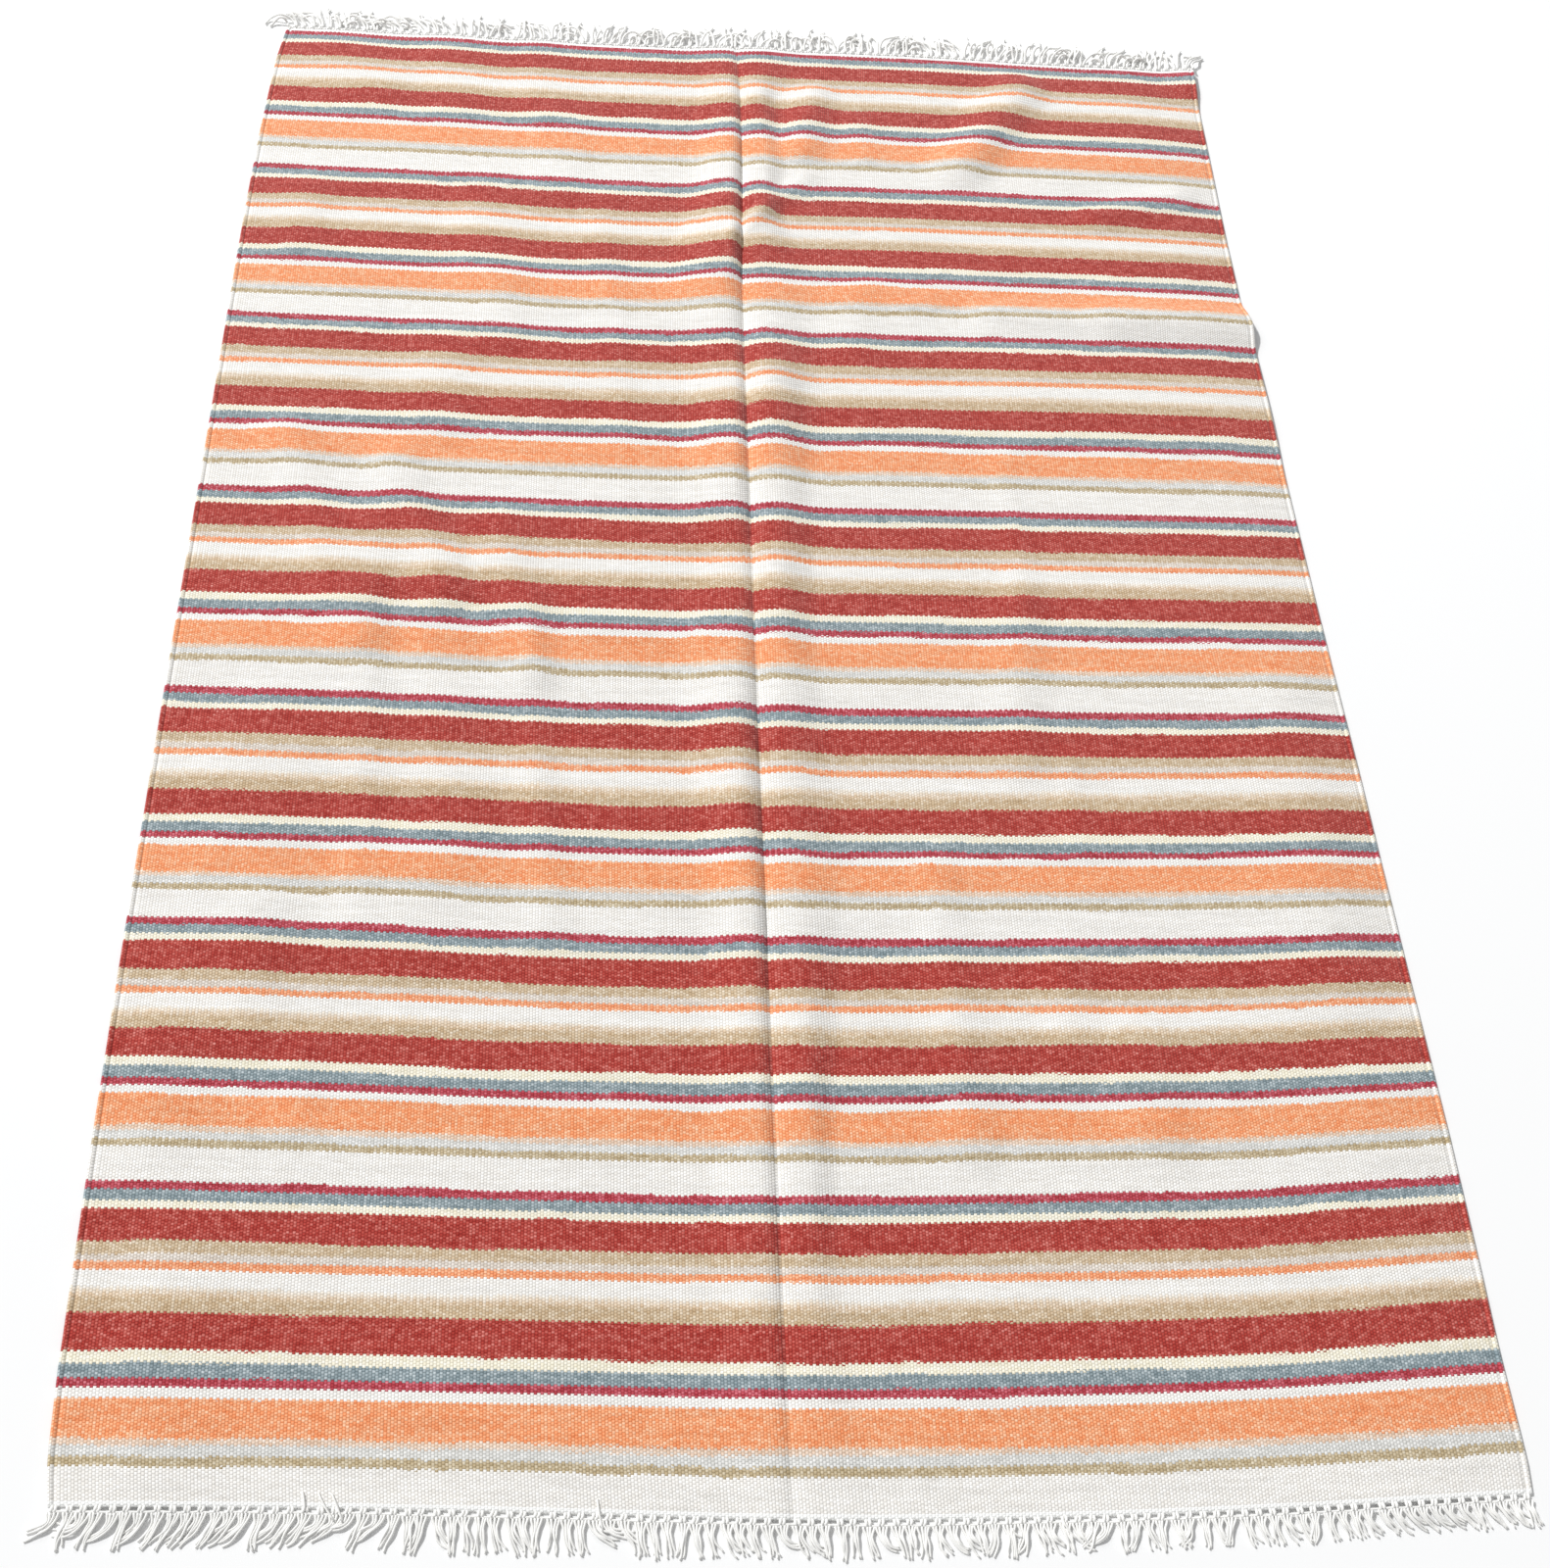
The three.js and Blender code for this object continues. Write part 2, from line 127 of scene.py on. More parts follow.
# The other soft ridges in the cloth. Each runs from one point to another, rises over its left reach and
# falls over its right one.
RIDGES = (  # from x, from y, to x, to y, left reach, right reach, height
    (-0.530, 0.850, -0.480, 0.800, 0.080, 0.080, 0.0040),
    (-0.390, 0.880, -0.380, 0.770, 0.060, 0.070, 0.0025),
    (-0.275, 0.880, -0.270, 0.770, 0.040, 0.070, 0.0025),
    (-0.235, 0.740, -0.235, 0.630, 0.070, 0.050, 0.0030),
    (0.084, 0.815, 0.064, 0.705, 0.038, 0.038, 0.0065),
    (0.140, 0.760, 0.146, 0.700, 0.036, 0.036, 0.0030),
    (0.356, 0.838, 0.268, 0.690, 0.060, 0.050, 0.0098),
    (0.500, 0.880, 0.500, 0.760, 0.070, 0.100, 0.0015),
    (0.602, 0.905, 0.602, 0.870, 0.060, 0.060, 0.0060),
    (0.070, 0.660, -0.028, 0.540, 0.020, 0.020, 0.0035),
    (0.430, 0.605, 0.540, 0.645, 0.038, 0.038, 0.0050),
    (-0.545, 0.600, -0.540, 0.510, 0.050, 0.045, 0.0030),
    (-0.335, 0.600, -0.335, 0.480, 0.050, 0.090, 0.0035),
    (-0.185, 0.600, -0.160, 0.220, 0.036, 0.030, 0.0020),
    (0.115, 0.450, 0.115, 0.370, 0.050, 0.045, 0.0025),
    (0.140, 0.470, 0.190, 0.440, 0.036, 0.036, 0.0030),
    (0.280, 0.428, 0.375, 0.426, 0.040, 0.040, 0.0060),
    (0.420, 0.426, 0.620, 0.425, 0.046, 0.046, 0.0110),
    (-0.300, 0.450, -0.300, 0.370, 0.050, 0.050, 0.0030),
    (-0.365, 0.360, -0.365, 0.240, 0.070, 0.060, 0.0035),
    (0.330, 0.330, 0.560, 0.300, 0.130, 0.130, 0.0030),
    (0.273, 0.210, 0.275, 0.000, 0.025, 0.022, 0.0020),
    (-0.530, 0.210, -0.430, -0.060, 0.046, 0.046, 0.0050),
    (-0.410, 0.170, -0.340, 0.000, 0.042, 0.042, 0.0065),
    (-0.425, 0.090, -0.420, 0.010, 0.045, 0.050, 0.0035),
    (-0.290, 0.087, -0.250, -0.100, 0.042, 0.042, 0.0045),
    (-0.470, -0.040, -0.440, -0.160, 0.150, 0.150, 0.0040),
    (-0.190, -0.045, -0.075, -0.050, 0.036, 0.036, 0.0030),
    (-0.360, 0.000, -0.320, -0.300, 0.045, 0.060, 0.0030),
    (-0.250, -0.010, -0.241, -0.180, 0.024, 0.018, 0.0024),
    (-0.240, -0.200, -0.230, -0.300, 0.030, 0.020, 0.0034),
    (-0.225, -0.320, -0.222, -0.400, 0.035, 0.030, 0.0024),
    (-0.417, 0.000, -0.405, -0.400, 0.030, 0.025, 0.0020),
    (0.265, 0.000, 0.248, -0.200, 0.045, 0.040, 0.0032),
    (0.297, -0.200, 0.300, -0.300, 0.022, 0.018, 0.0022),
    (-0.545, -0.200, -0.545, -0.400, 0.050, 0.120, 0.0030),
    (-0.365, -0.330, -0.360, -0.400, 0.080, 0.080, 0.0030),
    (-0.495, -0.380, -0.495, -0.490, 0.050, 0.055, 0.0035),
    (-0.570, -0.510, -0.570, -0.620, 0.030, 0.080, 0.0030),
    (-0.440, -0.520, -0.440, -0.590, 0.030, 0.025, 0.0020),
    (0.150, -0.320, 0.160, -0.600, 0.035, 0.035, 0.0030),
    (0.260, -0.420, 0.265, -0.500, 0.035, 0.040, 0.0036),
    (0.325, -0.510, 0.330, -0.600, 0.060, 0.050, 0.0030),
    (-0.540, -0.700, -0.540, -0.880, 0.050, 0.100, 0.0030),
    (0.520, -0.860, 0.520, 0.720, 0.300, 0.090, 0.0025),
    (0.530, -0.130, 0.530, -0.420, 0.100, 0.070, 0.0035),
)

# The stripes of one repeat, from the far end, with the colour of each yarn as eight bit values.
REPEAT = (  # width, red, green, blue
    (0.0070, 187, 74, 86),
    (0.0102, 150, 164, 169),
    (0.0076, 246, 240, 221),
    (0.0273, 183, 73, 64),
    (0.0108, 211, 190, 161),
    (0.0074, 226, 216, 205),
    (0.0072, 246, 168, 124),
    (0.0152, 246, 243, 238),
    (0.0030, 242, 233, 220),
    (0.0030, 233, 216, 195),
    (0.0030, 224, 202, 175),
    (0.0112, 210, 187, 156),
    (0.0273, 183, 73, 64),
    (0.0086, 246, 240, 221),
    (0.0114, 150, 164, 169),
    (0.0070, 187, 74, 86),
    (0.0080, 246, 243, 238),
    (0.0290, 248, 169, 122),
    (0.0052, 234, 209, 188),
    (0.0080, 224, 223, 219),
    (0.0070, 198, 181, 149),
    (0.0310, 244, 241, 236),
)
REPEAT_LENGTH = sum(row[0] for row in REPEAT)
BRICK_STRIPES = (3, 12)

# Where the two brick red stripes of each repeat begin and end, as distances from the far end, worked out
# from the stripes in the photo. No two are quite as wide, because the weft was beaten up by hand.
BRICK_EDGES = (  # begin, end, begin, end
    (0.0285, 0.0540, 0.1120, 0.1400),
    (0.2810, 0.3075, 0.3655, 0.3940),
    (0.5315, 0.5590, 0.6230, 0.6520),
    (0.7960, 0.8250, 0.8860, 0.9155),
    (1.0595, 1.0875, 1.1510, 1.1790),
    (1.3175, 1.3445, 1.4015, 1.4295),
    (1.5655, 1.5920, 1.6515, 1.6830),
)
FAR_HEADER = 0.0054
NEAR_HEADER = 0.0042
LAST_WHITE = 1.7705
SHORT_OF_REPEAT = 0.002

# Driving sizes of the fringe. The far yarns are fewer and thicker, so that they show on the pale floor.
BUNCHES_PER_END = 105
BUNCH_PITCH = RUG_WIDTH / BUNCHES_PER_END
KNOT_SHIFT = 0.0014
KNOT_HEIGHT = 0.0022
ROOT_DEPTH = 0.0012
ROOT_RADII = (0.0013, 0.0014, 0.0014)
CHAIN_RADIUS = 0.0010
CHAIN_SWELL = 1.15
YARN_STEPS = 13
YARN_TAPER = 0.30
LOOP_WIDTH = 0.0092
LOOSE_RADII = (0.0005, 0.0009, 0.0009, 0.0009, 0.0009, 0.0009)
LOWEST = 0.0001
PLY_LENGTH = 0.0070
NEAR_YARN = {
    "count": 4,
    "radius": 0.00105,
    "length": 0.0285,
    "length at the right": 0.0215,
    "width": 0.0044,
    "splay": 0.0026,
    "curl": 0.70,
    "lean spread": 9,
    "sway": 0.0014,
    "lift": 0.0022,
    "chain distance": 0.0034,
}
FAR_YARN = {
    "count": 2,
    "radius": 0.00170,
    "length": 0.0420,
    "length at the right": 0.0420,
    "width": 0.0070,
    "splay": 0.0060,
    "curl": 1.20,
    "lean spread": 17,
    "sway": 0.0044,
    "lift": 0.0090,
    "chain distance": 0.0022,
}

# Single yarns that have come loose and lie over the cloth at the near end, as places on the flat cloth.
LOOSE_YARNS = (  # across, along, then the middle, then the end
    (-0.4018, -0.8877, -0.4000, -0.8950, -0.4003, -0.9023),
    (-0.3894, -0.8885, -0.3850, -0.9000, -0.3760, -0.9097),
    (-0.3790, -0.8890, -0.3740, -0.9000, -0.3700, -0.9100),
    (-0.1696, -0.8886, -0.1690, -0.9010, -0.1654, -0.9129),
    (0.1698, -0.9146, 0.1630, -0.9120, 0.1618, -0.9071),
    (0.2144, -0.9170, 0.2080, -0.9110, 0.2034, -0.9021),
)

# How the bunches lean, as an angle in degrees from straight out, positive to the right.
NEAR_LEAN = (  # across, angle
    (-0.600, -50),
    (-0.585, -48),
    (-0.560, -40),
    (-0.470, -34),
    (-0.400, -30),
    (-0.385, -55),
    (-0.335, -60),
    (-0.325, -5),
    (-0.270, 12),
    (-0.178, 0),
    (-0.170, 62),
    (-0.150, 60),
    (-0.144, 5),
    (-0.080, 8),
    (0.060, 10),
    (0.220, 6),
    (0.240, -25),
    (0.255, 5),
    (0.330, 8),
    (0.400, 18),
    (0.455, 32),
    (0.515, 42),
    (0.566, 42),
    (0.590, 25),
    (0.600, 10),
)
FAR_LEAN = (  # across, angle
    (-0.600, -75),
    (-0.590, -60),
    (-0.560, -40),
    (-0.400, -34),
    (-0.330, -10),
    (-0.225, -25),
    (-0.180, 30),
    (-0.120, 20),
    (0.000, 14),
    (0.060, -16),
    (0.130, -4),
    (0.210, 10),
    (0.240, -22),
    (0.290, 0),
    (0.320, 22),
    (0.480, 30),
    (0.550, 24),
    (0.600, -4),
)


def look_up(rows, at, column):
    """The value of a column at a place in the first column, straight between the rows."""
    low = rows[0]
    for high in rows:
        if high[0] >= at:
            span = high[0] - low[0]
            share = (at - low[0]) / span if span > 0 else 0
            return low[column] + share * (high[column] - low[column])
        low = high
    return low[column]


def weft_sag(share, along):
    """The sag of the weft at a share across, from -1 at the left edge to 1 at the right one."""
    knots = [look_up(WEFT_BOW, along, column) for column in range(1, 8)]
    knots = [2 * knots[0] - knots[1], *knots, 2 * knots[6] - knots[5]]
    place = min(6, max(0, (share + 1) * 3))
    i = min(5, int(place))
    t = place - i
    a, b, c, d = knots[i:i + 4]
    linear = c - a
    square = 2 * a - 5 * b + 4 * c - d
    cube = 3 * b - a - 3 * c + d
    return 0.5 * (2 * b + linear * t + square * t * t + cube * t * t * t)


def fold_height(x, y):
    """Height of the old fold's shoulders."""
    valley, *shoulders = [look_up(FOLD, y, column) for column in range(1, 8)]
    side = 0 if x < valley else 1
    height, top, foot = shoulders[3 * side:3 * side + 3]
    away = abs(x - valley)
    if away < top:
        return height * math.sin(math.pi / 2 * away / top) ** FOLD_SHARPNESS[side]
    if away < foot:
        return height * 0.5 * (1 + math.cos(math.pi * (away - top) / (foot - top)))
    return 0


def ridge_height(x, y):
    """Height of the cloth's underside over the floor."""
    total = fold_height(x, y)
    for from_x, from_y, to_x, to_y, left, right, height in RIDGES:
        run_x = to_x - from_x
        run_y = to_y - from_y
        t = ((x - from_x) * run_x + (y - from_y) * run_y) / (run_x * run_x + run_y * run_y)
        t = min(1, max(0, t))
        away_x = x - from_x - t * run_x
        away = math.hypot(away_x, y - from_y - t * run_y)
        if away < max(left, right):
            side = 0.5 + 0.5 * away_x / max(away, 0.00001)
            reach = left + (right - left) * side
            total += height * 0.5 * (1 + math.cos(math.pi * min(1, away / reach)))
    return total


def lay_down(across, along):
    """Where a point of the flat cloth lies on the floor."""
    share = across / (RUG_WIDTH / 2)
    left = look_up(LONG_EDGES, along, 1)
    right = look_up(LONG_EDGES, along, 2)
    outward = -left + (left + right) * (share + 1) / 2
    return across + outward, along - weft_sag(share, along)


def frame_shift():
    """From the corners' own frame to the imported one, by the boxes of the cloth in both."""
    steps = 300
    edge = [lay_down(-RUG_WIDTH / 2, RUG_LENGTH * (i / steps - 0.5))[0] for i in range(steps + 1)]
    end = [lay_down(RUG_WIDTH * (i / steps - 0.5), RUG_LENGTH / 2)[1] for i in range(steps + 1)]
    low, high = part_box("woven_field")
    return low.x - min(edge), high.y - max(end)


SHIFT_X, SHIFT_Y = frame_shift()


def grid_places(stretches):
    """The places of a grid's lines, from stretches of (end, steps) after a first place."""
    places = [stretches[0]]
    for end, steps in stretches[1:]:
        start = places[-1]
        places += [start + (end - start) * (i + 1) / steps for i in range(steps)]
    return places


def smooth(value):
    value = min(1, max(0, value))
    return value * value * (3 - 2 * value)


def swell(edge, height, place, width):
    """A rounded rise at a place in from the long edges."""
    return height * math.exp(-((edge - place) / width) ** 2)


def surface_height(across, along, x, y):
    """The top of the cloth over its underside, with the selvedge and the unevenness of the weave."""
    edge = RUG_WIDTH / 2 - abs(across)
    end = RUG_LENGTH / 2 - abs(along)
    thick = CLOTH_THICK + BROAD_WAVE * noise.noise(Vector((x * 9, y * 14, 3.1)))
    thick += FINE_WAVE * noise.noise(Vector((x * 38, y * 30, 7.7)))
    bead = swell(edge, *SELVEDGE_BEAD)
    groove = swell(edge, *SELVEDGE_GROOVE)
    side_loss = SIDE_THINNER * max(0, 1 - edge / SIDE_ROUND) ** 2
    end_loss = END_THINNER * max(0, 1 - end / END_ROUND) ** 2
    return (thick + bead - groove) * (1 - side_loss - end_loss)


def stripe_places():
    """Rows of a distance from the far end and the count of repeats up to there. The last row stays just
    short of a whole repeat, so that the last white doesn't turn into the next crimson."""
    begins = [sum(row[0] for row in REPEAT[:i]) for i in range(len(REPEAT) + 1)]
    rows = [(0, -FAR_HEADER / REPEAT_LENGTH), (FAR_HEADER, 0)]
    for count, edges in enumerate(BRICK_EDGES):
        for i, edge in enumerate(edges):
            stripe = BRICK_STRIPES[i // 2] + i % 2
            rows.append((edge, count + begins[stripe] / REPEAT_LENGTH))
    rows.append((LAST_WHITE, len(BRICK_EDGES) - 1 + begins[-2] / REPEAT_LENGTH))
    rows.append((RUG_LENGTH, len(BRICK_EDGES) - SHORT_OF_REPEAT))
    return rows


def finish_mesh(name, points, faces, corners_by_map, material):
    """A mesh object at the origin with smooth faces, its UV maps and its material."""
    mesh = bpy.data.meshes.new(name)
    mesh.from_pydata(points, [], faces)
    for map_name, corners in corners_by_map.items():
        layer = mesh.uv_layers.new(name=map_name)
        for i, place in enumerate(corners):
            layer.data[i].uv = place
    mesh.materials.append(material)
    mesh.polygons.foreach_set("use_smooth", [True] * len(mesh.polygons))
    mesh.update()
    piece = bpy.data.objects.new(name, mesh)
    bpy.context.scene.collection.objects.link(piece)
    return piece


def woven_cloth(material):
    """The cloth: a closed sheet whose underside and top follow the ridges. Its grid is closest along the
    selvedges and the fold."""
    half = RUG_WIDTH / 2
    end = RUG_LENGTH / 2
    columns = grid_places([
        -half,
        (-half + 0.012, 10),
        (-0.09, 44),
        (-0.045, 15),
        (0.015, 40),
        (0.06, 15),
        (half - 0.012, 46),
        (half, 10),
    ])
    rows = grid_places([-end, (-end + 0.004, 3), (end - 0.004, 198), (end, 3)])
    across_count = len(columns)
    last = across_count - 1
    final = len(rows) - 1
    points = []
    flat = []
    for along in rows:
        for across in columns:
            x, y = lay_down(across, along)
            under = ridge_height(x, y)
            over = under + surface_height(across, along, x, y)
            points += [(x + SHIFT_X, y + SHIFT_Y, under), (x + SHIFT_X, y + SHIFT_Y, over)]
            flat += [(across, along)] * 2

    def low(r, c):
        return 2 * (r * across_count + c)

    def high(r, c):
        return low(r, c) + 1

    faces = []
    for r in range(final):
        for c in range(last):
            faces.append((high(r, c), high(r, c + 1), high(r + 1, c + 1), high(r + 1, c)))
            faces.append((low(r, c), low(r + 1, c), low(r + 1, c + 1), low(r, c + 1)))
        faces.append((low(r, 0), high(r, 0), high(r + 1, 0), low(r + 1, 0)))
        faces.append((low(r, last), low(r + 1, last), high(r + 1, last), high(r, last)))
    for c in range(last):
        faces.append((low(0, c), low(0, c + 1), high(0, c + 1), high(0, c)))
        faces.append((low(final, c), high(final, c), high(final, c + 1), low(final, c + 1)))
    places = stripe_places()
    counts = [look_up(places, RUG_LENGTH / 2 - along, 1) for along in rows]
    cloth_map = [flat[i] for face in faces for i in face]
    stripe_map = [(flat[i][0], counts[i // (2 * across_count)]) for face in faces for i in face]
    return finish_mesh("cloth", points, faces, {"cloth": cloth_map, "stripes": stripe_map}, material)


def add_tube(parts, path, radii, sides=6):
    """A closed tube along a path, with a UV map of the turn round it and the distance along it."""
    points, faces, corners = parts
    first = len(points)
    travelled = 0
    marks = []
    for i, place in enumerate(path):
        before = path[max(0, i - 1)]
        after = path[min(len(path) - 1, i + 1)]
        forward = (after - before).normalized()
        side = Vector((-forward.y, forward.x, 0)).normalized()
        up = side.cross(forward) * -1
        travelled += (place - before).length
        marks.append(travelled)
        for k in range(sides):
            turn = 2 * math.pi * k / sides
            points.append(place + radii[i] * (math.cos(turn) * side + math.sin(turn) * up))
    for i in range(len(path) - 1):
        for k in range(sides):
            a = first + i * sides + k
            b = first + i * sides + (k + 1) % sides
            faces.append((a, a + sides, b + sides, b))
            corners.extend([
                (k / sides, marks[i]),
                (k / sides, marks[i + 1]),
                ((k + 1) / sides, marks[i + 1]),
                ((k + 1) / sides, marks[i]),
            ])
    start_ring = [first + k for k in range(sides)]
    end_ring = [first + (len(path) - 1) * sides + k for k in reversed(range(sides))]
    for ring, mark in ((start_ring, 0), (end_ring, travelled)):
        faces.append(tuple(ring))
        corners.extend([(0.5, mark)] * sides)


def end_edge(across, outward):
    """A point of the cloth's edge at one end, and how high its underside is off the floor there."""
    x, y = lay_down(across, outward * RUG_LENGTH / 2)
    return x + SHIFT_X, y + SHIFT_Y, ridge_height(x, y)


def yarn_path(start, lean, curl, length, outward, spread, width, splay, sway, phase, radius, hump):
    """A yarn of a bunch. It leaves the chain beside its bunch, closes up with it, leans over and splays."""
    step = length / YARN_STEPS
    x, y, z = start
    path = []
    for i in range(YARN_STEPS + 1):
        share = i / YARN_STEPS
        turn = lean * smooth(share / 0.55) + curl * max(0, share - 0.2) ** 1.2
        if i > 0:
            x += step * math.sin(turn)
            y += step * math.cos(turn) * outward
        closing = smooth(share / 0.34)
        aside = spread * (LOOP_WIDTH * (1 - closing) + width * closing + splay * share * share)
        aside += sway * math.sin(2 * math.pi * share * 1.2 + phase) * share
        rest = radius + hump * math.sin(math.pi * min(1, share * 1.1)) ** 2
        fallen = smooth(share * 1.5)
        height = z * (1 - fallen) + rest * fallen
        path.append(Vector((x + aside * math.cos(turn), y - outward * aside * math.sin(turn), height)))
    return path


def fringe_knots(chance, yarn, outward):
    """For each bunch its place across the flat cloth, and its knot just off the cloth's edge."""
    knots = []
    for i in range(BUNCHES_PER_END):
        across = -RUG_WIDTH / 2 + BUNCH_PITCH * (i + 0.5)
        edge_x, edge_y, lift = end_edge(across + chance.uniform(-KNOT_SHIFT, KNOT_SHIFT), outward)
        distance = yarn["chain distance"] * chance.uniform(0.85, 1.15)
        knots.append((across, Vector((edge_x, edge_y + outward * distance, KNOT_HEIGHT + lift * 0.9))))
    return knots


def add_roots(parts, across, knot, outward):
    """The two short yarns from inside the cloth's edge to a knot."""
    for side in (-1, 1):
        root_x, root_y, root_lift = end_edge(across + side * BUNCH_PITCH * 0.11, outward)
        root = Vector((root_x, root_y - outward * ROOT_DEPTH, root_lift + CLOTH_THICK * 0.55))
        foot = knot + Vector((side * 0.0012, outward * 0.0004, 0))
        middle = root.lerp(foot, 0.5) + Vector((side * 0.0004, 0, 0.0004))
        add_tube(parts, [root, middle, foot], ROOT_RADII)


def add_chain_link(parts, chance, before, knot, outward):
    """The link of the chain between two knots, a little thicker at both."""
    dip = Vector((0, outward * chance.uniform(-0.0002, 0.0009), 0.0001))
    places = [before.lerp(knot, t) + dip * math.sin(math.pi * t) for t in (0, 0.25, 0.5, 0.75, 1)]
    at_knot = CHAIN_RADIUS * CHAIN_SWELL
    add_tube(parts, places, [at_knot, *[CHAIN_RADIUS] * 3, at_knot])


def add_bunch(parts, chance, across, knot, outward, lean, yarn):
    """The yarns that hang from a knot."""
    angle = math.radians(look_up(lean, across, 1) + chance.gauss(0, yarn["lean spread"]))
    curl = angle * 0.4 + chance.gauss(0, yarn["curl"])
    splay = abs(chance.gauss(0, yarn["splay"]))
    at_right = smooth(across / RUG_WIDTH + 0.5)
    length = yarn["length"] * (1 - at_right) + yarn["length at the right"] * at_right
    start = knot + Vector((0, outward * 0.0006, 0))
    count = yarn["count"]
    radius = yarn["radius"]
    radii = [radius * (1 - YARN_TAPER * (j / YARN_STEPS) ** 4) for j in range(YARN_STEPS + 1)]
    for k in range(count):
        spread = (k - (count - 1) / 2) / (count - 1)
        path = yarn_path(
            start,
            angle + chance.gauss(0, 0.03),
            curl + chance.gauss(0, yarn["curl"] * 0.25),
            length * chance.uniform(0.92, 1.06),
            outward,
            spread + chance.uniform(-0.06, 0.06),
            yarn["width"],
            splay,
            chance.uniform(0, yarn["sway"]),
            chance.uniform(0, 6.3),
            radius,
            yarn["lift"] * chance.uniform(0.2, 1),
        )
        add_tube(parts, path, radii)


def add_loose_yarns(parts):
    """The single yarns that lie over the near end of the cloth."""
    for places in LOOSE_YARNS:
        ends = []
        for across, along in zip(places[0::2], places[1::2]):
            x, y = lay_down(across, max(along, -RUG_LENGTH / 2))
            over = max(0, -RUG_LENGTH / 2 - along)
            height = ridge_height(x, y) + CLOTH_THICK + 0.0012 - over * 0.1
            ends.append(Vector((x + SHIFT_X, y + SHIFT_Y - over, height)))
        first, middle, last = ends
        bend = [first.lerp(middle, t).lerp(middle.lerp(last, t), t) for t in (0, 0.2, 0.4, 0.6, 0.8, 1)]
        add_tube(parts, bend, LOOSE_RADII, sides=5)


def fringe(name, outward, lean, yarn, material, seed):
    """The knotted warp ends of one end: a chain of loops along the edge, with a bunch at each knot."""
    chance = random.Random(seed)
    parts = ([], [], [])
    knots = fringe_knots(chance, yarn, outward)
    for i, (across, knot) in enumerate(knots):
        add_roots(parts, across, knot, outward)
        if i > 0:
            add_chain_link(parts, chance, knots[i - 1][1], knot, outward)
        add_bunch(parts, chance, across, knot, outward, lean, yarn)
    if outward < 0:
        add_loose_yarns(parts)
    points, faces, corners = parts
    for point in points:
        point.z = max(point.z, LOWEST)
    return finish_mesh(name, points, faces, {"yarn": corners}, material)


def feed(tree, socket, value):
    """A value, or another node's output, into an input."""
    if isinstance(value, bpy.types.NodeSocket):
        tree.links.new(value, socket)
    else:
        socket.default_value = value


def maths(tree, operation, *values):
    """The result of one step of maths on values or outputs."""
    node = tree.nodes.new("ShaderNodeMath")
    node.operation = operation
    for socket, value in zip(node.inputs, values):
        feed(tree, socket, value)
    return node.outputs[0]


def vector_of(tree, x, y, z=0.0):
    node = tree.nodes.new("ShaderNodeCombineXYZ")
    for socket, value in zip(node.inputs, (x, y, z)):
        feed(tree, socket, value)
    return node.outputs[0]


def uv_map(tree, name):
    """The two coordinates of a named UV map."""
    node = tree.nodes.new("ShaderNodeUVMap")
    node.uv_map = name
    split = tree.nodes.new("ShaderNodeSeparateXYZ")
    tree.links.new(node.outputs[0], split.inputs[0])
    return split.outputs[0], split.outputs[1]


def mix_colour(tree, blend, factor, first, second):
    node = tree.nodes.new("ShaderNodeMix")
    node.data_type = "RGBA"
    node.blend_type = blend
    feed(tree, node.inputs["Factor"], factor)
    feed(tree, node.inputs["A"], first)
    feed(tree, node.inputs["B"], second)
    return node.outputs["Result"]


def linear(red, green, blue):
    """Eight bit colour values as a shader's linear colour."""
    def one(value):
        value /= 255
        return value / 12.92 if value <= 0.04045 else ((value + 0.055) / 1.055) ** 2.4
    return one(red), one(green), one(blue), 1


def fibre_group():
    """The unevenness of spun yarn as a shade near 1, with slow changes along it and a fine fleck."""
    group = bpy.data.node_groups.new("spun_fibre", "ShaderNodeTree")
    inputs = {"Place": "NodeSocketVector", "Slow": "NodeSocketFloat", "Fine": "NodeSocketFloat"}
    for name, kind in inputs.items():
        group.interface.new_socket(name, in_out="INPUT", socket_type=kind)
    group.interface.new_socket("Shade", in_out="OUTPUT", socket_type="NodeSocketFloat")
    entry = group.nodes.new("NodeGroupInput")
    leave = group.nodes.new("NodeGroupOutput")
    shade = 1.0
    for scale, detail, amount in ((1.0, 2.0, entry.outputs["Slow"]), (9.0, 3.0, entry.outputs["Fine"])):
        texture = group.nodes.new("ShaderNodeTexNoise")
        group.links.new(entry.outputs["Place"], texture.inputs["Vector"])
        texture.inputs["Scale"].default_value = scale
        texture.inputs["Detail"].default_value = detail
        centred = maths(group, "SUBTRACT", texture.outputs["Fac"], 0.5)
        shade = maths(group, "MULTIPLY_ADD", centred, amount, shade)
    group.links.new(shade, leave.inputs["Shade"])
    return group


def fibre_shade(tree, group, place, scales, slow, fine):
    """The fibre group's shade at two coordinates, each times its own scale."""
    x, y = [maths(tree, "MULTIPLY", coordinate, scale) for coordinate, scale in zip(place, scales)]
    node = tree.nodes.new("ShaderNodeGroup")
    node.node_tree = group
    feed(tree, node.inputs["Place"], vector_of(tree, x, y))
    node.inputs["Slow"].default_value = slow
    node.inputs["Fine"].default_value = fine
    return node.outputs["Shade"]


def stripe_ramp(tree, place):
    """The repeat's stripes as hard colour steps over 0 to 1."""
    node = tree.nodes.new("ShaderNodeValToRGB")
    node.color_ramp.interpolation = "CONSTANT"
    steps = node.color_ramp.elements
    begin = 0
    for i, (width, *colour) in enumerate(REPEAT):
        step = steps[i] if i < 2 else steps.new(begin / REPEAT_LENGTH)
        step.position = begin / REPEAT_LENGTH
        step.color = linear(*colour)
        begin += width
    feed(tree, node.inputs["Fac"], place)
    return node.outputs["Color"]


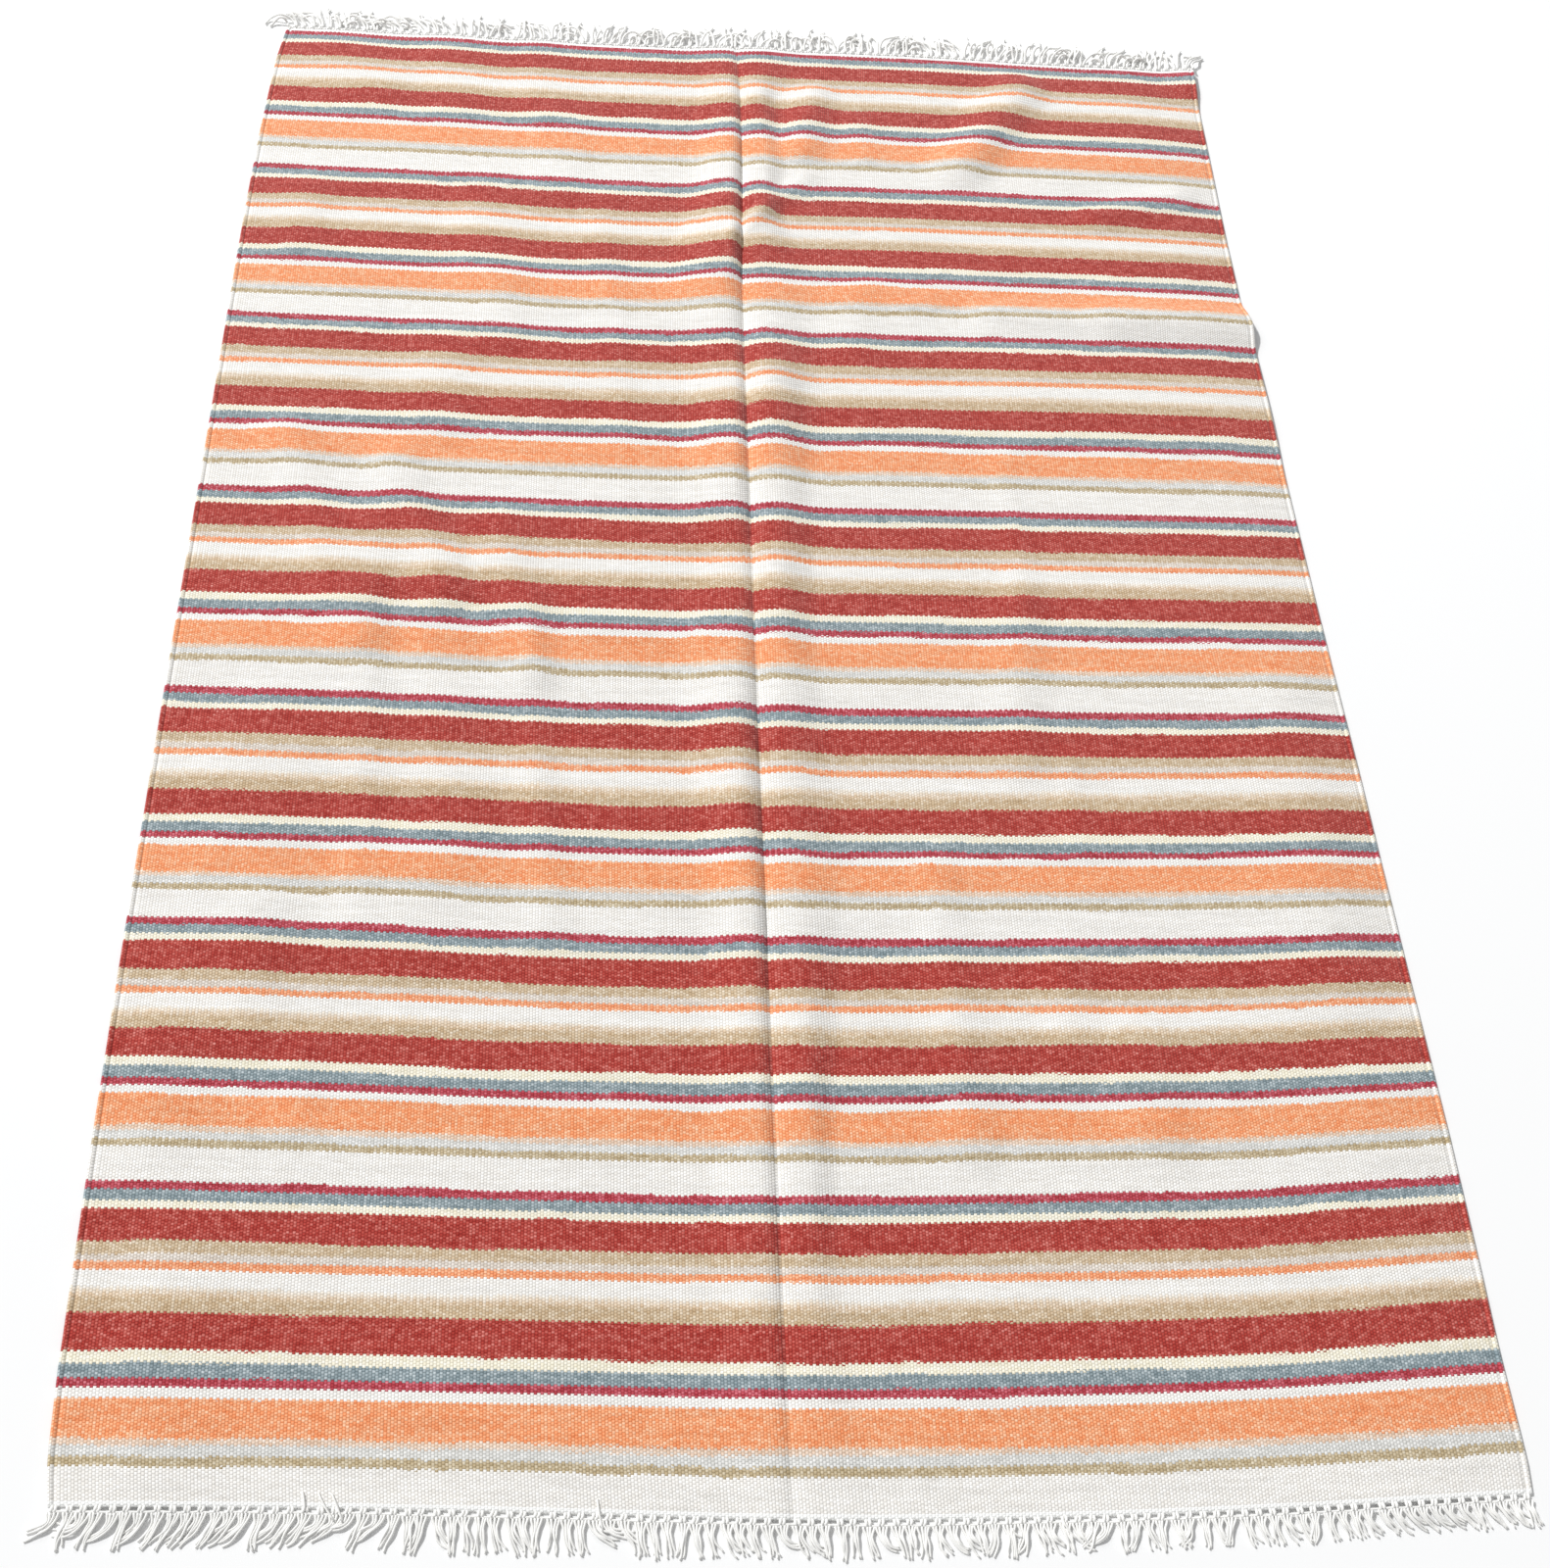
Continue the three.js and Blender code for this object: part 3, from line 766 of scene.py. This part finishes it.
def new_material(name, roughness, specular, sheen=0.0):
    """A material with its tree and its shader."""
    material = bpy.data.materials.new(name)
    material.use_nodes = True
    shader = material.node_tree.nodes["Principled BSDF"]
    shader.inputs["Roughness"].default_value = roughness
    shader.inputs["Specular IOR Level"].default_value = specular
    shader.inputs["Sheen Weight"].default_value = sheen
    return material, material.node_tree, shader


def add_relief(tree, shader, height, strength, distance):
    """Bumps the shader's normal by a height."""
    bump = tree.nodes.new("ShaderNodeBump")
    bump.inputs["Strength"].default_value = strength
    bump.inputs["Distance"].default_value = distance
    feed(tree, bump.inputs["Height"], height)
    feed(tree, shader.inputs["Normal"], bump.outputs["Normal"])


def weave_material(fibre):
    """Weft faced plain weave: ribs over the warps and beads of one colour each, so borders are toothed."""
    material, tree, shader = new_material("striped_weave", roughness=0.92, specular=0.25, sheen=0.25)
    place = uv_map(tree, "cloth")
    across, along = place
    _, repeat = uv_map(tree, "stripes")
    warp = maths(tree, "DIVIDE", across, WARP_PITCH)
    warp_number = maths(tree, "FLOOR", warp)
    odd = maths(tree, "PINGPONG", warp_number, 1.0)
    half_step = maths(tree, "MULTIPLY", odd, 0.5)
    pick = maths(tree, "MULTIPLY_ADD", along, 1 / PICK_PITCH, half_step)
    pick_number = maths(tree, "FLOOR", pick)
    rib = maths(tree, "SINE", maths(tree, "MULTIPLY", maths(tree, "FRACT", warp), math.pi))
    pick_share = maths(tree, "FRACT", pick)
    bead = maths(tree, "SINE", maths(tree, "MULTIPLY", pick_share, math.pi))
    rounded = maths(tree, "POWER", rib, 0.35)
    crown = maths(tree, "MULTIPLY_ADD", maths(tree, "POWER", bead, 0.6), 0.8, 0.2)
    height = maths(tree, "MULTIPLY", rounded, crown)
    seed = tree.nodes.new("ShaderNodeTexWhiteNoise")
    seed.noise_dimensions = "2D"
    feed(tree, seed.inputs["Vector"], vector_of(tree, warp_number, pick_number))
    chance = seed.outputs["Value"]

    # The colour is looked up at the middle of each bead. The borders wander a little, as hand woven ones do.
    to_middle = maths(tree, "SUBTRACT", pick_share, 0.5)
    wander = fibre_shade(tree, fibre, place, (9.0, 16.0), 0.018, 0.004)
    aside = maths(tree, "SUBTRACT", wander, 1.0)
    shift = maths(tree, "MULTIPLY_ADD", to_middle, PICK_PITCH / REPEAT_LENGTH, aside)
    colour = stripe_ramp(tree, maths(tree, "FRACT", maths(tree, "ADD", repeat, shift)))

    # A plain header of bright warp cotton closes each end.
    far_header = maths(tree, "GREATER_THAN", along, RUG_LENGTH / 2 - FAR_HEADER)
    near_header = maths(tree, "LESS_THAN", along, NEAR_HEADER - RUG_LENGTH / 2)
    in_header = maths(tree, "MAXIMUM", far_header, near_header)
    colour = mix_colour(tree, "MIX", in_header, colour, linear(255, 255, 253))

    # Painted shade darkens the hollows between the beads, deeper on coloured yarns than on white ones.
    # Each bead is a little lighter or darker.
    hollow_shade = maths(tree, "SUBTRACT", 1.0, height)
    lively = maths(tree, "MULTIPLY_ADD", chance, -0.52, 0.26)
    flecks = fibre_shade(tree, fibre, place, (380.0, 520.0), 0.5, 0.3)
    streaks = fibre_shade(tree, fibre, place, (55.0, 400.0), 0.6, 0.4)
    uneven = maths(tree, "MULTIPLY", flecks, streaks)
    power = maths(tree, "ADD", maths(tree, "MULTIPLY_ADD", hollow_shade, 0.60, 0.835), lively)
    power = maths(tree, "ADD", power, maths(tree, "MULTIPLY_ADD", uneven, -1.0, 1.0))
    gamma = tree.nodes.new("ShaderNodeGamma")
    feed(tree, gamma.inputs["Color"], colour)
    feed(tree, gamma.inputs["Gamma"], power)
    cloud = fibre_shade(tree, fibre, place, (8.0, 130.0), 0.24, 0.10)
    shade = maths(tree, "MULTIPLY", cloud, maths(tree, "MULTIPLY_ADD", uneven, 0.45, 0.55))
    shade = maths(tree, "MULTIPLY", shade, maths(tree, "MULTIPLY_ADD", odd, -0.035, 1.03))
    # Painted shade in the hollows, which also darkens the whites.
    shade = maths(tree, "MULTIPLY", shade, maths(tree, "MULTIPLY_ADD", hollow_shade, -0.30, 1.074))
    to_plain = maths(tree, "MULTIPLY", in_header, maths(tree, "SUBTRACT", 1.06, shade))
    shade = maths(tree, "MULTIPLY_ADD", to_plain, 0.7, shade)
    final = mix_colour(tree, "MULTIPLY", 1.0, gamma.outputs["Color"], vector_of(tree, shade, shade, shade))
    feed(tree, shader.inputs["Base Color"], final)
    add_relief(tree, shader, height, strength=0.62, distance=0.0008)
    return material


def cotton_material(fibre):
    """Plied white cotton: a twist round the yarn, with painted shade in its grooves, and a soft fleck."""
    material, tree, shader = new_material("fringe_cotton", roughness=0.9, specular=0.25, sheen=0.1)
    place = uv_map(tree, "yarn")
    turn, along = place
    twist = maths(tree, "MULTIPLY_ADD", along, 1 / PLY_LENGTH, turn)
    strand = maths(tree, "ABSOLUTE", maths(tree, "SINE", maths(tree, "MULTIPLY", twist, math.pi * 2)))
    groove = maths(tree, "POWER", strand, 0.5)
    fleck = fibre_shade(tree, fibre, place, (3.0, 300.0), 0.03, 0.02)
    # A fleck of the yarn's own tone, and painted shade in the grooves between the plies.
    fleck_and_groove_shade = maths(tree, "MULTIPLY", fleck, maths(tree, "MULTIPLY_ADD", groove, 0.02, 0.985))
    white = mix_colour(tree, "MULTIPLY", 1.0, linear(250, 249, 246), vector_of(tree, fleck_and_groove_shade, fleck_and_groove_shade, fleck_and_groove_shade))
    feed(tree, shader.inputs["Base Color"], white)
    add_relief(tree, shader, groove, strength=0.10, distance=0.0003)
    return material


def floor_material():
    material, _, shader = new_material("pale_floor", roughness=1.0, specular=0.0)
    shader.inputs["Base Color"].default_value = linear(251, 251, 251)
    return material


def pale_floor():
    bpy.ops.object.select_all(action="DESELECT")
    bpy.ops.mesh.primitive_plane_add(size=30)
    floor = bpy.context.object
    floor.name = "floor"
    floor.data.materials.append(floor_material())


def studio_light():
    """A soft key light and a panel beyond the rug's left far corner, and an even bright room."""
    key = bpy.data.lights.new("key", "SUN")
    key.energy = 2.6
    key.angle = math.radians(3.5)
    lamp = bpy.data.objects.new("key", key)
    lamp.rotation_euler = Vector((1.0, -0.75, -1.15)).to_track_quat("-Z", "Y").to_euler()
    bpy.context.scene.collection.objects.link(lamp)
    panel = bpy.data.lights.new("far panel", "AREA")
    panel.size = 1.6
    panel.energy = 27
    board = bpy.data.objects.new("far panel", panel)
    board.location = (-1.4, 2.4, 2.0)
    board.rotation_euler = (Vector((0, 0.2, 0)) - board.location).to_track_quat("-Z", "Y").to_euler()
    bpy.context.scene.collection.objects.link(board)
    world = bpy.data.worlds.new("room")
    world.use_nodes = True
    world.node_tree.nodes["Background"].inputs["Color"].default_value = (0.98, 0.99, 1.0, 1)
    world.node_tree.nodes["Background"].inputs["Strength"].default_value = 0.38
    bpy.context.scene.world = world
    bpy.context.scene.view_settings.view_transform = "Standard"


def camera():
    """Standing at the near end and looking down along the rug. Its lens, shift and place follow from the
    field's corners in the photo and from the ratio that is assumed for the field."""
    lens = bpy.data.cameras.new("camera")
    lens.lens = 41.51
    lens.sensor_width = 36
    lens.shift_x = 0.0456
    view = bpy.data.objects.new("camera", lens)
    view.location = (-0.1885 + SHIFT_X, -1.158 + SHIFT_Y, 1.5321 + CLOTH_THICK)
    view.rotation_euler = (math.radians(31.155), math.radians(-3.725), math.radians(-0.878))
    bpy.context.scene.collection.objects.link(view)
    bpy.context.scene.camera = view


camera()
studio_light()
pale_floor()
spun_fibre = fibre_group()
cotton = cotton_material(spun_fibre)
cloth = woven_cloth(weave_material(spun_fibre))
near = fringe("near_fringe_yarn", -1, NEAR_LEAN, NEAR_YARN, cotton, seed=11)
far = fringe("far_fringe_yarn", 1, FAR_LEAN, FAR_YARN, cotton, seed=23)
for piece, node, slot in (
    (cloth, "woven_field", "striped_weave"),
    (near, "near_fringe", "fringe_cotton"),
    (far, "far_fringe", "fringe_cotton"),
):
    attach(piece, "root")
    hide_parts(node)
